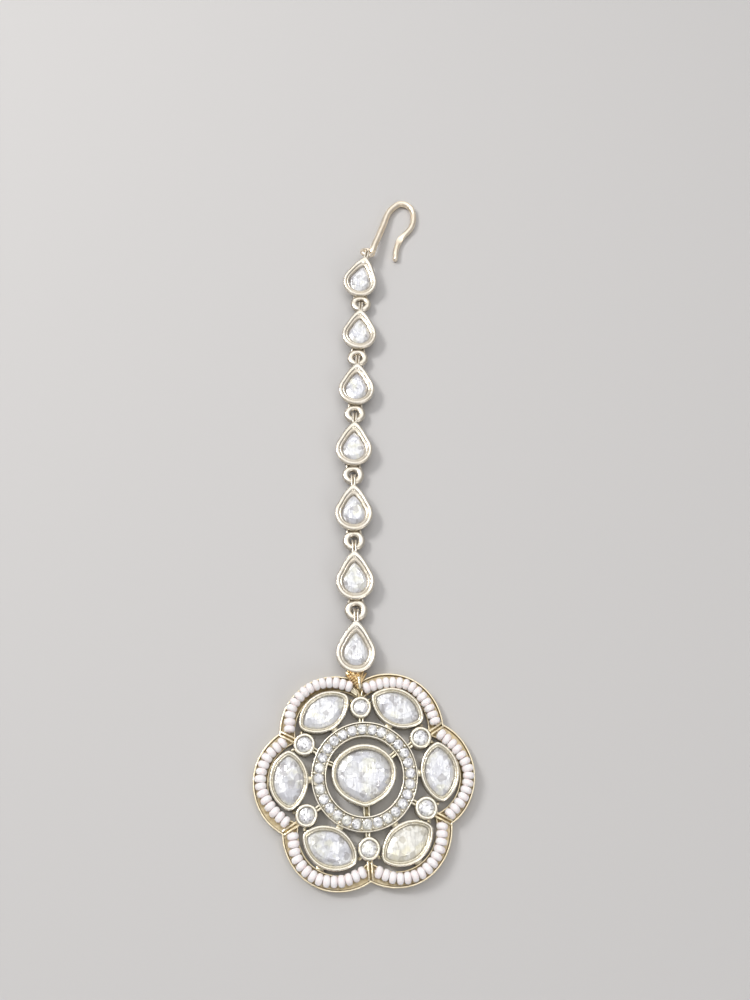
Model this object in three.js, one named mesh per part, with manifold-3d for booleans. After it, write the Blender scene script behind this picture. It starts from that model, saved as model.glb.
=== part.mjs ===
// Forehead ornament (maang tikka): a six-lobed flower pendant with seed-bead edges, a chain of
// seven pear-shaped stone links and a wire hook for the hair, lying on its back.
// Millimetres, +Z up. The origin is the middle of the pendant's flat back, the chain runs along +Y.

import * as THREE from 'three';
import { mergeVertices } from 'three/addons/utils/BufferGeometryUtils.js';
import Module from 'manifold-3d';

const wasm = await Module();
wasm.setup();

const DEGREE = Math.PI / 180;

// Pendant layout: lobes at 60 degree steps, notches between them at 30 degrees
const LOBES = 6;
const LOBE_STEP = 360 / LOBES;
const PENDANT_TURN = 3.9;
const LOBE_OFFSET = 8.95;

// Rail that carries the seed beads
const RAIL_OUTER = 9.05;
const RAIL_INNER = 6.55;
const RAIL_FLOOR = 0.9;
const LIP_WIDTH = 0.26;
const OUTER_LIP_TOP = 1.5;
const INNER_LIP_TOP = 1.15;
const RAIL_SHIFT = new THREE.Vector3(0.05, -0.2, 0);

// Twin walls that close the ends of the rail's lobes at each notch
const END_WALL = 0.3;
const END_WALL_GAP = 0.3;
const END_WALL_TOP = 2.0;
const WALL_INNER = 12.5;
const WALL_OUTER = 15.45;
const STAPLE_WALL_TOP = 1.4;

// Seed-bead strands: radius from the lobe's centre at five places, from the anticlockwise end
// to the clockwise end, with the half angles at which the strand ends and its rise in the middle
const BEAD = 1.85;
const STRAND_HEIGHT = 2.1;
const STRANDS = [
  { name: 'bead_strand_1', lobe: 60, start: 56, end: 58, radii: [7.65, 7.3, 7.65, 7.4, 7.85], rise: 0 },
  { name: 'bead_strand_2', lobe: 0, start: 59, end: 58, radii: [7.4, 7.25, 7.85, 7.7, 7.85], rise: 0 },
  { name: 'bead_strand_3', lobe: -60, start: 59, end: 58, radii: [7.4, 7.55, 7.85, 7.65, 7.4], rise: 0 },
  { name: 'bead_strand_4', lobe: -120, start: 59, end: 58, radii: [7.3, 7.45, 7.85, 7.8, 7.45], rise: 0 },
  { name: 'bead_strand_5', lobe: 180, start: 59, end: 58, radii: [7.4, 7.25, 7.8, 7.75, 7.6], rise: 0 },
  { name: 'bead_strand_6', lobe: 120, start: 58, end: 43, radii: [7.5, 7.95, 8.0, 7.85, 7.7], rise: 0.4 },
];

// Stone ring and the carrier it is soldered on
const RING_OUTER = 8.6;
const RING_INNER = 6.2;
const RING_TOP = 2.35;
const RING_BED = 2.1;
const RING_EDGE = 0.28;
const RING_STONES = 28;
const RING_STONE_RADIUS = 0.66;
const CARRIER_INSET = 0.1;
const CARRIER_TOP = 1.1;
const SEAM = 0.12;

// Solder bars, and the angle from a notch at which a round cup is bridged to its marquise cups
const BAR_BOTTOM = 0.4;
const BAR_TOP = 1.85;
const BRIDGE_ANGLE = 49.2;

// Round cups at the notches and marquise cups in the lobes
const CUP_TOP = 2.6;
const CUP_FLOOR = 1.2;
const ROUND_RADIUS = 1.73;
const ROUND_WALL = 0.46;
const ROUND_REACH = 11.0;
const MARQUISE_REACH = 12.17;
const MARQUISE_WIDTH = 6.1;
const MARQUISE_LENGTH = 9.4;
const MARQUISE_WALL = 0.5;

// Centre cup: a wide rounded pear with a small point towards the bottom
const CENTRE_HALF_WIDTH = 5.1;
const CENTRE_UP = 4.4;
const CENTRE_DOWN = 4.7;
const CENTRE_POINT = 0.45;
const CENTRE_WALL = 0.62;
const CENTRE_TOP = 3.1;
const CENTRE_FLOOR = 1.3;
const CENTRE_SHIFT = new THREE.Vector3(-0.12, 0.4, 0);

// Chain links: pear cup narrowing to its back, flat ring at its foot and upright wire loop at its tip
const PEAR_RADIUS = 3.3;
const PEAR_LENGTH = 8.4;
const PEAR_TOP = 2.7;
const PEAR_RIM = 0.46;
const PEAR_STEP = 2.25;
const PEAR_BAND = 1.0;
const PEAR_FLOOR = 1.2;
const PEAR_SHOULDER = 1.8;
const PEAR_TAPER = 1.4;
const FOOT_RING = 1.315;
const FOOT_WIRE = 0.565;
const FOOT_FLATNESS = 0.8;
const FOOT_HEIGHT = 1.42;
const FOOT_TO_CUP = 1.72;
const SHOULDER_PLACE = 0.95;
const SHOULDER_WIDTH = 0.6;
const TIP_TO_RING = 3.0;
const LOOP_WIRE = 0.375;
const LOOP_LOW = 0.4;
const LOOP_HIGH = 2.44;
const LOOP_PLAY = 0.16;

// One row for each link, from the pendant up: its turn from +Y, how far it is slid together with
// the next one, and the extra turn and upward tilt of its cup
const LINKS = [
  { number: 7, turn: 0.3, slack: 0.3, cupTurn: 0, cupTilt: 0 },
  { number: 6, turn: 3.06, slack: 0.17, cupTurn: -1, cupTilt: 0 },
  { number: 5, turn: 1.34, slack: 0.1, cupTurn: 0, cupTilt: 0 },
  { number: 4, turn: -0.66, slack: 0.18, cupTurn: 0, cupTilt: 0 },
  { number: 3, turn: -3.03, slack: 0.56, cupTurn: 2, cupTilt: 0 },
  { number: 2, turn: -2.9, slack: 0.28, cupTurn: 1, cupTilt: 0 },
  { number: 1, turn: 3.4, slack: 0.32, cupTurn: -15, cupTilt: 7 },
];
const LAST_CUP_FOOT = new THREE.Vector3(-1.6, 16.8, 0);

// Tie between the last link and the pendant: a small lug on the link, a wire staple on the
// pendant's top notch and a wire loop through both
const LUG_RING = 0.55;
const LUG_WIRE = 0.22;
const LUG_HEIGHT = 2.3;
const LUG_ANGLE = -105;
const LUG_REACH = 0.45;
const STAPLE_WIRE = 0.24;
const STAPLE_INNER = 14.1;
const STAPLE_OUTER = 15.6;
const STAPLE_TOP = 2.45;
const TIE_WIRE = 0.2;
const TIE_HALF_HEIGHT = 0.62;
const TIE_OVERREACH = 0.75;

// Hair hook: wire from its eye up, round the bend and back to the open tip
const HOOK_WIRE = 0.6;
const HOOK_EYE = 1.18;
const HOOK_EYE_WIRE = 0.45;
const HOOK_ROUTE = [
  new THREE.Vector3(0.75, 105.5, 2.55),
  new THREE.Vector3(1.0, 107.2, 2.2),
  new THREE.Vector3(2.55, 110.9, 1.4),
  new THREE.Vector3(3.45, 113.8, 1.0),
  new THREE.Vector3(4.4, 116.7, 0.75),
  new THREE.Vector3(6.6, 119.1, 0.65),
  new THREE.Vector3(8.9, 118.4, 0.65),
  new THREE.Vector3(9.7, 116.1, 0.65),
  new THREE.Vector3(9.05, 112.7, 0.65),
  new THREE.Vector3(6.75, 109.5, 0.65),
  new THREE.Vector3(5.9, 107.0, 0.65),
  new THREE.Vector3(5.65, 104.4, 0.65),
];

// Stones sit this far from the metal round them
const STONE_PLAY = 0.12;

// Cuts run this far past the metal, and edges shorter than a sliver are closed up
const PAST = 1;
const SLIVER = 0.02;

const gold = new THREE.MeshStandardMaterial({ color: 0xd9c79a, roughness: 0.25, metalness: 1 });
const crystal = new THREE.MeshStandardMaterial({ color: 0xe4e4ec, roughness: 0.08, metalness: 0.1 });
const seedBead = new THREE.MeshStandardMaterial({ color: 0xf3e6ea, roughness: 0.3, metalness: 0 });

// Point at a distance and an angle in degrees
function polar(distance, degrees) {
  return new THREE.Vector2(distance * Math.cos(degrees * DEGREE), distance * Math.sin(degrees * DEGREE));
}

// Closed solid from a three.js geometry
function solid(geometry) {
  const bare = geometry.clone();
  bare.deleteAttribute('normal');
  bare.deleteAttribute('uv');
  const merged = mergeVertices(bare, 1e-5);
  const mesh = new wasm.Mesh({
    numProp: 3,
    vertProperties: new Float32Array(merged.attributes.position.array),
    triVerts: new Uint32Array(merged.index.array),
  });
  return new wasm.Manifold(mesh);
}

// One solid from pieces that are soldered together
function solder(solids) {
  return solids.reduce((whole, piece) => whole.add(piece)).simplify(SLIVER);
}

// Solid of a body from which hollows are cut, all set in place by one matrix
function hollowed(body, hollows, frame = new THREE.Matrix4()) {
  const cuts = hollows.map((hollow) => solid(hollow.applyMatrix4(frame)));
  return cuts.reduce((rest, cut) => rest.subtract(cut), solid(body.applyMatrix4(frame)));
}

// three.js geometry of a closed solid
function surface(manifold) {
  const mesh = manifold.getMesh();
  const geometry = new THREE.BufferGeometry();
  geometry.setAttribute('position', new THREE.BufferAttribute(new Float32Array(mesh.vertProperties), 3));
  geometry.setIndex(new THREE.BufferAttribute(new Uint32Array(mesh.triVerts), 1));
  geometry.computeVertexNormals();
  return geometry;
}

// Straight-walled solid over an outline, between two heights, with an opening if one is given
function prism(outline, bottom, top, opening) {
  const shape = new THREE.Shape(outline);
  if (opening) {
    shape.holes.push(new THREE.Path(opening));
  }
  const geometry = new THREE.ExtrudeGeometry(shape, { depth: top - bottom, bevelEnabled: false });
  return geometry.translate(0, 0, bottom);
}

// Solid that widens from one outline at the bottom to another at its shoulder, then rises straight
function bowl(base, rim, shoulder, top) {
  const n = rim.length;
  const levels = [[base, 0], [rim, shoulder], [rim, top]];
  const positions = levels.flatMap(([outline, height]) => outline.flatMap((p) => [p.x, p.y, height]));
  const index = [];
  for (let i = 0; i < 2 * n; i += 1) {
    const next = i % n === n - 1 ? i + 1 - n : i + 1;
    index.push(i, next, next + n, i, next + n, i + n);
  }
  for (let i = 1; i < n - 1; i += 1) {
    index.push(0, i + 1, i);
    index.push(2 * n, 2 * n + i, 2 * n + i + 1);
  }
  const geometry = new THREE.BufferGeometry();
  geometry.setAttribute('position', new THREE.Float32BufferAttribute(positions, 3));
  geometry.setIndex(index);
  return geometry;
}

// Bar of metal along a radius
function radialBar(from, to, width, bottom, top, degrees) {
  const bar = new THREE.BoxGeometry(to - from, width, top - bottom);
  bar.translate((from + to) / 2, 0, (bottom + top) / 2);
  return bar.rotateZ(degrees * DEGREE);
}

// Solid ring turned about Z, from the closed profile of its section
function turnedRing(profile, sides) {
  const points = profile.map(([radius, height]) => new THREE.Vector2(radius, height));
  points.push(points[0].clone());
  return new THREE.LatheGeometry(points, sides).rotateX(Math.PI / 2);
}

// Wire of a given radius along a curve
function wire(curve, radius, steps, sides) {
  const section = new THREE.Shape(
    Array.from({ length: sides }, (_, i) => polar(radius, (i + 0.5) * (360 / sides))),
  );
  return new THREE.ExtrudeGeometry(section, { steps, bevelEnabled: false, extrudePath: curve });
}

// Closed wire ring with straight sides: a torus whose halves are moved apart along X
function longRing(radius, wireRadius, stretch) {
  const ring = new THREE.TorusGeometry(radius, wireRadius, 6, 14);
  const place = ring.attributes.position;
  for (let i = 0; i < place.count; i += 1) {
    place.setX(i, place.getX(i) + Math.sign(Math.round(place.getX(i) * 1000)) * stretch);
  }
  return ring;
}

// Outline of six lobes, each an arc round its own centre
function lobedOutline(radius, perLobe = 11) {
  const half = (LOBE_STEP / 2) * DEGREE;
  const notch = LOBE_OFFSET * Math.cos(half) + Math.sqrt(radius ** 2 - (LOBE_OFFSET * Math.sin(half)) ** 2);
  const sweep = Math.atan2(notch * Math.sin(half), notch * Math.cos(half) - LOBE_OFFSET) / DEGREE;
  const points = [];
  for (let lobe = 0; lobe < LOBES; lobe += 1) {
    const centre = polar(LOBE_OFFSET, lobe * LOBE_STEP);
    for (let i = 0; i < perLobe; i += 1) {
      const angle = lobe * LOBE_STEP - sweep + (2 * sweep * i) / perLobe;
      points.push(polar(radius, angle).add(centre));
    }
  }
  return points;
}

// Pointed oval of two arcs, long along Y, drawn in by an inset
function marquiseOutline(inset, perArc = 9) {
  const radius = (MARQUISE_LENGTH ** 2 + MARQUISE_WIDTH ** 2) / (4 * MARQUISE_WIDTH);
  const offset = radius - MARQUISE_WIDTH / 2;
  const half = Math.acos(offset / (radius - inset)) / DEGREE;
  const points = [];
  for (const side of [0, 180]) {
    const centre = polar(-offset, side);
    for (let i = 0; i < perArc; i += 1) {
      points.push(polar(radius - inset, side - half + (2 * half * i) / perArc).add(centre));
    }
  }
  return points;
}

// Circle of a round cup, drawn in by an inset
function roundOutline(inset, count = 16) {
  return Array.from({ length: count }, (_, i) => polar(ROUND_RADIUS - inset, i * (360 / count)));
}

// Pear with its tip towards +Y, centred on its round end, drawn in by an inset
function pearOutline(inset, perArc = 15) {
  const scale = (PEAR_RADIUS - inset) / PEAR_RADIUS;
  const tip = PEAR_LENGTH - PEAR_RADIUS;
  const tangent = 90 - Math.acos(PEAR_RADIUS / tip) / DEGREE;
  const points = [new THREE.Vector2(0, tip * scale)];
  for (let i = 0; i <= perArc; i += 1) {
    const angle = 180 - tangent + ((180 + 2 * tangent) * i) / perArc;
    points.push(polar(PEAR_RADIUS * scale, angle));
  }
  return points;
}

// Wide rounded outline of the centre cup, with its small point towards -Y
function centreOutline(inset, count = 30) {
  const points = [];
  for (let i = 0; i < count; i += 1) {
    const angle = 360 * (i / count) - 90;
    const fromPoint = Math.min(i, count - i) * (360 / count);
    const down = CENTRE_DOWN + CENTRE_POINT * Math.max(0, 1 - fromPoint / 36) ** 2;
    const height = Math.sin(angle * DEGREE) < 0 ? down : CENTRE_UP;
    points.push(new THREE.Vector2(
      (CENTRE_HALF_WIDTH - inset) * Math.cos(angle * DEGREE),
      (height - inset) * Math.sin(angle * DEGREE),
    ));
  }
  return points;
}

// Cut stone: flat back, girdle at full size and a flat table over a ring of facets
function cutStone(outline, back, girdle, table, tableScale) {
  const levels = [[back, 0.84], [girdle, 1], [table, tableScale]];
  const centre = outline.reduce((sum, p) => sum.add(p), new THREE.Vector2()).divideScalar(outline.length);
  const positions = [];
  for (const [height, scale] of levels) {
    for (const point of outline) {
      const p = point.clone().sub(centre).multiplyScalar(scale).add(centre);
      positions.push(p.x, p.y, height);
    }
  }
  const n = outline.length;
  const index = [];
  for (let level = 0; level < levels.length - 1; level += 1) {
    for (let i = 0; i < n; i += 1) {
      const a = level * n + i;
      const b = level * n + ((i + 1) % n);
      index.push(a, b, b + n, a, b + n, a + n);
    }
  }
  const topRow = (levels.length - 1) * n;
  for (let i = 1; i < n - 1; i += 1) {
    index.push(0, i + 1, i);
    index.push(topRow, topRow + i, topRow + i + 1);
  }
  const geometry = new THREE.BufferGeometry();
  geometry.setAttribute('position', new THREE.Float32BufferAttribute(positions, 3));
  geometry.setIndex(index);
  geometry.computeVertexNormals();
  return geometry;
}

// Cup with a closed back and a hollow for the stone, set in place by a matrix
function cup(outer, inner, floor, top, frame) {
  return hollowed(prism(outer, 0, top), [prism(inner, floor, top + PAST)], frame);
}

// Rail with its floor, its two lips and the twin end walls at each notch
function rail() {
  const move = new THREE.Matrix4().makeTranslation(RAIL_SHIFT);
  const tray = hollowed(
    prism(lobedOutline(RAIL_OUTER), 0, OUTER_LIP_TOP),
    [prism(lobedOutline(RAIL_OUTER - LIP_WIDTH), RAIL_FLOOR, OUTER_LIP_TOP + PAST)],
    move,
  );
  const innerLip = hollowed(prism(lobedOutline(RAIL_INNER + LIP_WIDTH), RAIL_FLOOR / 2, INNER_LIP_TOP), [], move);
  const opening = hollowed(prism(lobedOutline(RAIL_INNER), -PAST, OUTER_LIP_TOP + PAST), [], move);
  const pieces = [tray.add(innerLip).subtract(opening)];
  for (let i = 0; i < LOBES; i += 1) {
    const angle = 90 + i * LOBE_STEP;
    const top = i === 0 ? STAPLE_WALL_TOP : END_WALL_TOP;
    for (const side of [-1, 1]) {
      const wall = radialBar(WALL_INNER, WALL_OUTER, END_WALL, RAIL_FLOOR / 2, top, 0);
      wall.translate(0, side * (END_WALL_GAP + END_WALL) / 2, 0);
      pieces.push(solid(wall.rotateZ(angle * DEGREE).applyMatrix4(move)));
    }
  }
  return pieces;
}

// Solder bar between the carrier ring and a cup: tall beside the stone ring, low under it
function ringBar(from, to, width, degrees) {
  const clear = from < RING_INNER ? [from, RING_INNER - SEAM] : [RING_OUTER + SEAM, to];
  return [
    solid(radialBar(from, to, width, BAR_BOTTOM, CARRIER_TOP - SEAM, degrees)),
    solid(radialBar(...clear, width, BAR_BOTTOM, BAR_TOP, degrees)),
  ];
}

// Solder between the carrier ring, the cups and the rail
function solderBars() {
  const pieces = [
    ...ringBar(4.3, 6.9, 1.1, -90),
    ...ringBar(4.6, 6.9, 0.8, 33),
    ...ringBar(4.6, 6.9, 0.8, 157),
  ];
  const marquiseInner = MARQUISE_REACH - MARQUISE_WIDTH / 2;
  const marquiseOuter = MARQUISE_REACH + MARQUISE_WIDTH / 2;
  for (let i = 0; i < LOBES; i += 1) {
    const lobe = i * LOBE_STEP;
    const notch = lobe + LOBE_STEP / 2;
    const centre = polar(ROUND_REACH, notch);
    pieces.push(...ringBar(8.2, marquiseInner + 0.4, 1.2, lobe));
    pieces.push(...ringBar(8.2, ROUND_REACH - ROUND_RADIUS + 0.3, 0.95, notch));
    pieces.push(solid(radialBar(marquiseOuter - 0.3, marquiseOuter + 0.6, 1.3, 0.3, 1.1, lobe)));
    for (const side of [-1, 1]) {
      const bridge = radialBar(ROUND_RADIUS - 0.3, ROUND_RADIUS + 0.7, 0.6, 0.9, BAR_TOP, side * BRIDGE_ANGLE);
      pieces.push(solid(bridge.rotateZ(notch * DEGREE).translate(centre.x, centre.y, 0)));
    }
  }
  return pieces;
}

// Wire staple over the top notch, through which the tie passes
function stapleWire() {
  const path = new THREE.CurvePath();
  const corner = 0.3;
  const low = new THREE.Vector3(0, STAPLE_INNER, 0.8);
  const high = new THREE.Vector3(0, STAPLE_INNER, STAPLE_TOP - corner);
  const over = new THREE.Vector3(0, STAPLE_INNER + corner, STAPLE_TOP);
  const far = new THREE.Vector3(0, STAPLE_OUTER - corner, STAPLE_TOP);
  const drop = new THREE.Vector3(0, STAPLE_OUTER, STAPLE_TOP - corner);
  const foot = new THREE.Vector3(0, STAPLE_OUTER, 0.5);
  path.add(new THREE.LineCurve3(low, high));
  path.add(new THREE.QuadraticBezierCurve3(high, new THREE.Vector3(0, STAPLE_INNER, STAPLE_TOP), over));
  path.add(new THREE.LineCurve3(over, far));
  path.add(new THREE.QuadraticBezierCurve3(far, new THREE.Vector3(0, STAPLE_OUTER, STAPLE_TOP), drop));
  path.add(new THREE.LineCurve3(drop, foot));
  return wire(path, STAPLE_WIRE, 16, 6);
}

// The pendant's soldered metal
function pendantFrame() {
  const carrier = turnedRing([
    [RING_INNER + CARRIER_INSET, 0],
    [RING_OUTER - CARRIER_INSET, 0],
    [RING_OUTER - CARRIER_INSET, CARRIER_TOP],
    [RING_INNER + CARRIER_INSET, CARRIER_TOP],
  ], 40);
  const centreMove = new THREE.Matrix4().makeTranslation(CENTRE_SHIFT.x, CENTRE_SHIFT.y, 0);
  const centre = cup(centreOutline(0), centreOutline(CENTRE_WALL), CENTRE_FLOOR, CENTRE_TOP, centreMove);
  const pieces = [...rail(), ...solderBars(), solid(stapleWire()), solid(carrier), centre];
  for (let i = 0; i < LOBES; i += 1) {
    const lobe = new THREE.Matrix4().makeRotationZ(i * LOBE_STEP * DEGREE);
    const notch = new THREE.Matrix4().makeRotationZ((i + 0.5) * LOBE_STEP * DEGREE);
    lobe.multiply(new THREE.Matrix4().makeTranslation(MARQUISE_REACH, 0, 0));
    notch.multiply(new THREE.Matrix4().makeTranslation(ROUND_REACH, 0, 0));
    pieces.push(cup(marquiseOutline(0), marquiseOutline(MARQUISE_WALL), CUP_FLOOR, CUP_TOP, lobe));
    pieces.push(cup(roundOutline(0), roundOutline(ROUND_WALL), CUP_FLOOR, CUP_TOP, notch));
  }
  return surface(solder(pieces));
}

// The stone ring: a band with raised edges and a ring of small cut stones
function paveRing() {
  const bottom = CARRIER_TOP + SEAM;
  const band = turnedRing([
    [RING_INNER, bottom],
    [RING_OUTER, bottom],
    [RING_OUTER, RING_TOP],
    [RING_OUTER - RING_EDGE, RING_TOP],
    [RING_OUTER - RING_EDGE, RING_BED],
    [RING_INNER + RING_EDGE, RING_BED],
    [RING_INNER + RING_EDGE, RING_TOP],
    [RING_INNER, RING_TOP],
  ], 48);
  const pieces = [solid(band)];
  const middle = (RING_INNER + RING_OUTER) / 2;
  for (let i = 0; i < RING_STONES; i += 1) {
    const angle = i * (360 / RING_STONES);
    const place = polar(middle, angle);
    const stone = new THREE.CylinderGeometry(RING_STONE_RADIUS * 0.58, RING_STONE_RADIUS, 0.62, 8);
    stone.rotateX(Math.PI / 2).rotateZ(angle * DEGREE).translate(place.x, place.y, RING_BED + 0.16);
    pieces.push(solid(stone));
  }
  return surface(solder(pieces));
}

// Tube that stands for a string of seed beads along one lobe
function beadStrand(row) {
  const places = [row.start, row.start / 2, 0, -row.end / 2, -row.end];
  const centre = polar(LOBE_OFFSET, row.lobe);
  const points = places.map((angle, i) => {
    const p = polar(row.radii[i], row.lobe + angle).add(centre);
    const rise = row.rise * Math.cos((angle / row.start) * (Math.PI / 2)) ** 0.5;
    return new THREE.Vector3(p.x, p.y, STRAND_HEIGHT + (i === 0 || i === 4 ? 0 : rise)).add(RAIL_SHIFT);
  });
  return wire(new THREE.CatmullRomCurve3(points), BEAD / 2, 10, 8);
}

// Upright wire loop at a cup's tip, in the link's own YZ plane, with its ends inside the cup
function tipLoop() {
  const bend = (LOOP_HIGH - LOOP_LOW) / 2;
  const reach = TIP_TO_RING - (FOOT_RING - FOOT_WIRE) + LOOP_PLAY + LOOP_WIRE - bend;
  const start = -0.7;
  const lowStart = -2;
  const middle = (LOOP_HIGH + LOOP_LOW) / 2;
  const path = new THREE.CurvePath();
  const arc = [];
  for (let i = 0; i <= 6; i += 1) {
    const p = polar(bend, -90 + 30 * i);
    arc.push(new THREE.Vector3(0, reach + p.x, middle + p.y));
  }
  path.add(new THREE.LineCurve3(new THREE.Vector3(0, lowStart, LOOP_LOW), arc[0]));
  for (let i = 0; i < 6; i += 1) {
    path.add(new THREE.LineCurve3(arc[i], arc[i + 1]));
  }
  path.add(new THREE.LineCurve3(arc[6], new THREE.Vector3(0, start, LOOP_HIGH)));
  return wire(path, LOOP_WIRE, 12, 6);
}

// Cup frame of a link: origin on the cup's round centre, tip towards +Y, tilted about the near
// edge of its flat back
function cupFrame(row) {
  const frame = new THREE.Matrix4().makeTranslation(0, FOOT_TO_CUP + PEAR_TAPER, 0);
  frame.multiply(new THREE.Matrix4().makeRotationX(row.cupTilt * DEGREE));
  frame.multiply(new THREE.Matrix4().makeTranslation(0, PEAR_RADIUS - PEAR_TAPER, 0));
  return frame.multiply(new THREE.Matrix4().makeRotationZ(row.cupTurn * DEGREE));
}

// One link's soldered metal, with its origin in the middle of its foot ring
function linkMetal(row) {
  const frame = cupFrame(row);
  const pear = hollowed(bowl(pearOutline(PEAR_TAPER), pearOutline(0), PEAR_SHOULDER, PEAR_TOP), [
    prism(pearOutline(PEAR_RIM), PEAR_STEP, PEAR_TOP + PAST),
    prism(pearOutline(PEAR_BAND), PEAR_FLOOR, PEAR_TOP + PAST),
  ], frame);
  const loop = tipLoop().translate(0, PEAR_LENGTH - PEAR_RADIUS, 0).applyMatrix4(frame);
  const ring = new THREE.TorusGeometry(FOOT_RING, FOOT_WIRE, 6, 12);
  ring.scale(1, 1, FOOT_FLATNESS).translate(0, 0, FOOT_HEIGHT);
  const place = polar(PEAR_RADIUS + LUG_REACH, LUG_ANGLE);
  const lug = new THREE.TorusGeometry(LUG_RING, LUG_WIRE, 6, 10);
  lug.translate(place.x, place.y, LUG_HEIGHT).applyMatrix4(frame);
  if (row.number === LINKS.length) {
    return surface(solder([pear, solid(loop), solid(lug)]));
  }
  const shoulders = [-1, 1].map((side) => {
    const shoulder = new THREE.BoxGeometry(SHOULDER_WIDTH, 1.85, 0.8);
    return solid(shoulder.translate(side * SHOULDER_PLACE, 1.825, FOOT_HEIGHT));
  });
  return surface(solder([pear, solid(loop), solid(ring), ...shoulders]));
}

// Every piece of the object goes into one group
const tikka = new THREE.Group();

function addPiece(group, name, geometry, material) {
  const mesh = new THREE.Mesh(geometry, material);
  mesh.name = name;
  group.add(mesh);
  return mesh;
}

// Pendant
const pendant = new THREE.Group();
pendant.rotation.z = PENDANT_TURN * DEGREE;
tikka.add(pendant);
addPiece(pendant, 'pendant_frame', pendantFrame(), gold);
addPiece(pendant, 'pave_ring', paveRing(), crystal);
for (const row of STRANDS) {
  addPiece(pendant, row.name, beadStrand(row), seedBead);
}
for (let i = 0; i < LOBES; i += 1) {
  const marquise = cutStone(marquiseOutline(MARQUISE_WALL + STONE_PLAY + 0.1, 6), 1.32, 1.9, 2.45, 0.62);
  const marquiseAngle = (60 - i * LOBE_STEP) * DEGREE;
  marquise.translate(MARQUISE_REACH, 0, 0).rotateZ(marquiseAngle);
  addPiece(pendant, `marquise_stone_${i + 1}`, marquise, crystal);
  const place = polar(ROUND_REACH, 90 - i * LOBE_STEP);
  const round = cutStone(roundOutline(ROUND_WALL + STONE_PLAY, 10), 1.32, 2.1, 2.6, 0.58);
  round.translate(place.x, place.y, 0);
  addPiece(pendant, `round_stone_${i + 1}`, round, crystal);
}
const centreStone = cutStone(centreOutline(CENTRE_WALL + STONE_PLAY + 0.1, 14), 1.42, 2.2, 2.8, 0.6);
centreStone.translate(CENTRE_SHIFT.x, CENTRE_SHIFT.y, 0);
addPiece(pendant, 'centre_stone', centreStone, crystal);

// Chain, from the pendant up: each link's ring lies where the link below it ends
const joint = LAST_CUP_FOOT.clone();
joint.y -= FOOT_TO_CUP;
let lastLink;
let top;
for (const row of LINKS) {
  const link = new THREE.Group();
  link.position.copy(joint);
  link.rotation.z = row.turn * DEGREE;
  tikka.add(link);
  addPiece(link, `chain_link_${row.number}`, linkMetal(row), gold);
  const stone = cutStone(pearOutline(PEAR_BAND + STONE_PLAY, 10), 1.32, 1.95, 2.5, 0.6);
  addPiece(link, `drop_stone_${row.number}`, stone.applyMatrix4(cupFrame(row)), crystal);
  link.updateMatrixWorld(true);
  const reach = PEAR_LENGTH - PEAR_RADIUS + TIP_TO_RING - row.slack;
  top = cupFrame(row).premultiply(link.matrixWorld);
  const end = new THREE.Vector3(0, reach, 0).applyMatrix4(top);
  if (row.number === 7) {
    lastLink = top.clone();
  }
  joint.set(end.x, end.y, 0);
}

// Hair hook: a flat eye on the top link's loop, tilted with that link, and the bent wire
const eyeFrame = top.clone();
eyeFrame.multiply(new THREE.Matrix4().makeTranslation(
  0,
  PEAR_LENGTH - PEAR_RADIUS + TIP_TO_RING - LINKS.at(-1).slack,
  FOOT_HEIGHT,
));
const eye = new THREE.TorusGeometry(HOOK_EYE, HOOK_EYE_WIRE, 6, 12).applyMatrix4(eyeFrame);
const shank = wire(new THREE.CatmullRomCurve3(HOOK_ROUTE), HOOK_WIRE, 36, 6);
addPiece(tikka, 'hair_hook', surface(solder([solid(eye), solid(shank)])), gold);

// Tie: a closed wire loop in an upright plane, from the link's lug to past the staple
const lugPlace = polar(PEAR_RADIUS + LUG_REACH, LUG_ANGLE);
const lug = new THREE.Vector3(lugPlace.x, lugPlace.y, 0).applyMatrix4(lastLink);
pendant.updateMatrixWorld(true);
const stapleMiddle = (STAPLE_INNER + STAPLE_OUTER) / 2;
const staple = new THREE.Vector3(0, stapleMiddle, 0).applyMatrix4(pendant.matrixWorld);
const along = staple.clone().sub(lug).normalize();
const farEnd = staple.clone().addScaledVector(along, TIE_OVERREACH);
const halfLength = farEnd.distanceTo(lug) / 2;
const tieLoop = longRing(TIE_HALF_HEIGHT, TIE_WIRE, halfLength - TIE_HALF_HEIGHT).rotateX(Math.PI / 2);
const tie = addPiece(tikka, 'pendant_tie', tieLoop, gold);
tie.rotation.z = Math.atan2(along.y, along.x);
tie.position.set((lug.x + farEnd.x) / 2, (lug.y + farEnd.y) / 2, STAPLE_TOP);

export default tikka;
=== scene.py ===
"""Looks for the forehead ornament: flower pendant, chain of pear links and hair hook."""

import math

import bpy
import bmesh
from mathutils import Matrix, Vector, noise


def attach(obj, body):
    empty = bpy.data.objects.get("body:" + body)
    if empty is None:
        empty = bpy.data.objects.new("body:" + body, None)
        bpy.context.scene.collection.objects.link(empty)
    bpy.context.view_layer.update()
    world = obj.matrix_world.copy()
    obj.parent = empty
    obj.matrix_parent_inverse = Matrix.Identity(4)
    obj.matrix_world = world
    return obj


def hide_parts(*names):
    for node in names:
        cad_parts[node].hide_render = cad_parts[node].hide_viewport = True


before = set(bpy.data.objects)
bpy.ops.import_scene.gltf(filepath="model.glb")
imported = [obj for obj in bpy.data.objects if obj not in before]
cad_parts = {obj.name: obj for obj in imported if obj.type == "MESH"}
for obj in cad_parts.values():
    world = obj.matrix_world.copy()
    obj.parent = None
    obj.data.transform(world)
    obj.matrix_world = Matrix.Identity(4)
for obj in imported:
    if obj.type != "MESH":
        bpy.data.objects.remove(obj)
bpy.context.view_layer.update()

MM = 0.001

# The metal's slight waviness is the same in every run
WAVINESS_SEED = 4
noise.seed_set(WAVINESS_SEED)

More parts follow.
